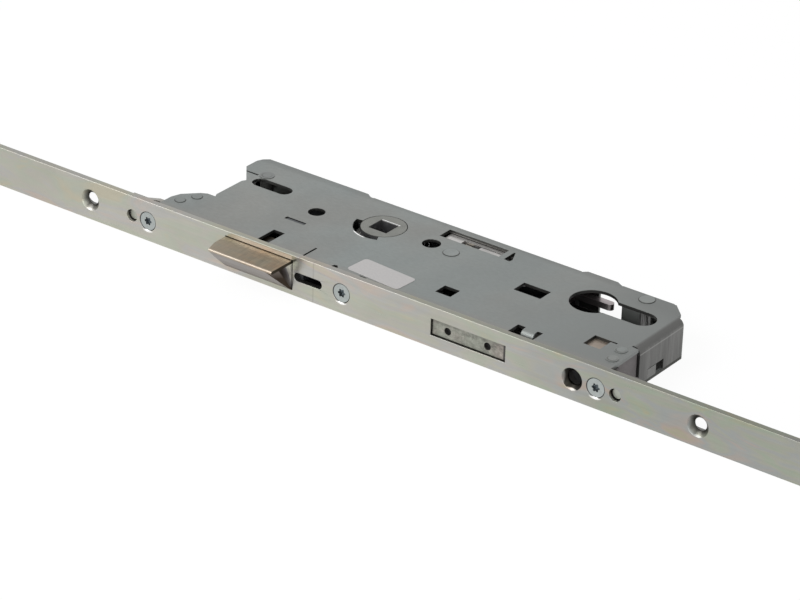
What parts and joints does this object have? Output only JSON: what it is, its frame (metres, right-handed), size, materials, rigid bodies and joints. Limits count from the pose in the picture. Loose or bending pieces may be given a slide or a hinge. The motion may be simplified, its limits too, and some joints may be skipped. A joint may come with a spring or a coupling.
{
  "type": "multipoint door lock",
  "caption": "Mortice multipoint door lock with a long flat faceplate, sprung latch, deadbolt, cylinder and spindle holes, and sliding rods that carry roller cams.",
  "frame": {"origin": "on the spindle axis, half way through the case's height", "axes": "+X along the faceplate, down the door; +Y from the faceplate into the door; +Z along the spindle and the cylinder, out of the cover"},
  "size_m": [0.6, 0.0699, 0.016],
  "materials": {
    "face_zinc": "zinc plated strip, satin, with a faint warm sheen",
    "case_steel": "galvanised sheet, dull grey",
    "base_steel": "galvanised sheet, dull grey",
    "bracket_steel": "brown tinted zinc",
    "latch_metal": "brushed, warm nickel tone",
    "bright_steel": "bright zinc",
    "dark_steel": "plain dark steel",
    "guide_steel": "blue grey zinc",
    "liner_plastic": "lilac grey, matte",
    "spring_steel": "drawn spring wire",
    "label_paper": "white, matte, bare"
  },
  "bodies": {
    "case": {"faceplate": "face_zinc", "case_cover": "case_steel", "case_base": "base_steel", "spacer_pillars": "bright_steel", "upper_bracket": "bracket_steel", "lower_bracket": "bracket_steel", "bracket_rivets": "case_steel", "locating_studs": "bright_steel", "face_screws": "bright_steel", "screw_block": "dark_steel", "latch_guide": "guide_steel", "latch_liner": "liner_plastic", "latch_spring_seat": "bright_steel", "latch_spring": "spring_steel", "follower_spring": "spring_steel", "follower_spring_seat": "bright_steel", "rod_guides": "bright_steel", "tumbler_spring": "spring_steel", "label": "label_paper"},
    "latch": {"latch_bolt": "latch_metal", "latch_shank": "bright_steel", "latch_pin": "dark_steel"},
    "follower": {"follower": "bright_steel"},
    "deadbolt": {"deadbolt": "latch_metal", "deadbolt_inserts": "dark_steel", "deadbolt_pin": "bright_steel"},
    "drive": {"drive_plate": "guide_steel", "rear_slide": "bright_steel", "slide_rivets": "dark_steel", "upper_rod": "bright_steel", "lower_rod": "bright_steel", "roller_studs": "bright_steel"},
    "upper_roller": {"upper_roller": "bright_steel"},
    "lower_roller": {"lower_roller": "bright_steel"},
    "tumbler": {"tumbler": "guide_steel"}
  },
  "joints": [
    {"name": "follower_turn", "type": "hinge", "parent": "case", "child": "follower", "pos_m": [0, 0, 0], "axis": [0, 0, -1], "range_deg": [0, 35], "stiffness_Nm_per_rad": 0.6, "springref_deg": -20.05, "deforming": ["follower_spring"]},
    {"name": "latch_slide", "type": "slide", "parent": "case", "child": "latch", "axis": [0, 1, 0], "range_m": [0, 0.01176], "stiffness_N_per_m": 400, "springref_m": -0.006, "deforming": ["latch_spring"]},
    {"name": "drive_slide", "type": "slide", "parent": "case", "child": "drive", "axis": [-1, 0, 0], "range_m": [0, 0.02]},
    {"name": "deadbolt_slide", "type": "slide", "parent": "case", "child": "deadbolt", "axis": [0, -1, 0], "range_m": [0, 0.02]},
    {"name": "upper_roller_spin", "type": "hinge", "parent": "drive", "child": "upper_roller", "pos_m": [-0.225, -0.045, 0], "axis": [0, 1, 0], "continuous": true},
    {"name": "lower_roller_spin", "type": "hinge", "parent": "drive", "child": "lower_roller", "pos_m": [0.265, -0.045, 0], "axis": [0, 1, 0], "continuous": true},
    {"name": "tumbler_lift", "type": "hinge", "parent": "case", "child": "tumbler", "pos_m": [0.0313, -0.0015, 0], "axis": [0, 0, -1], "range_deg": [0, 3], "stiffness_Nm_per_rad": 0.05, "springref_deg": -5.73, "deforming": ["tumbler_spring"]}
  ],
  "couplings": [
    {"joint": "follower_turn", "follows": "latch_slide", "rad_per_m": 51.9},
    {"joint": "deadbolt_slide", "follows": "drive_slide", "ratio": 1}
  ]
}
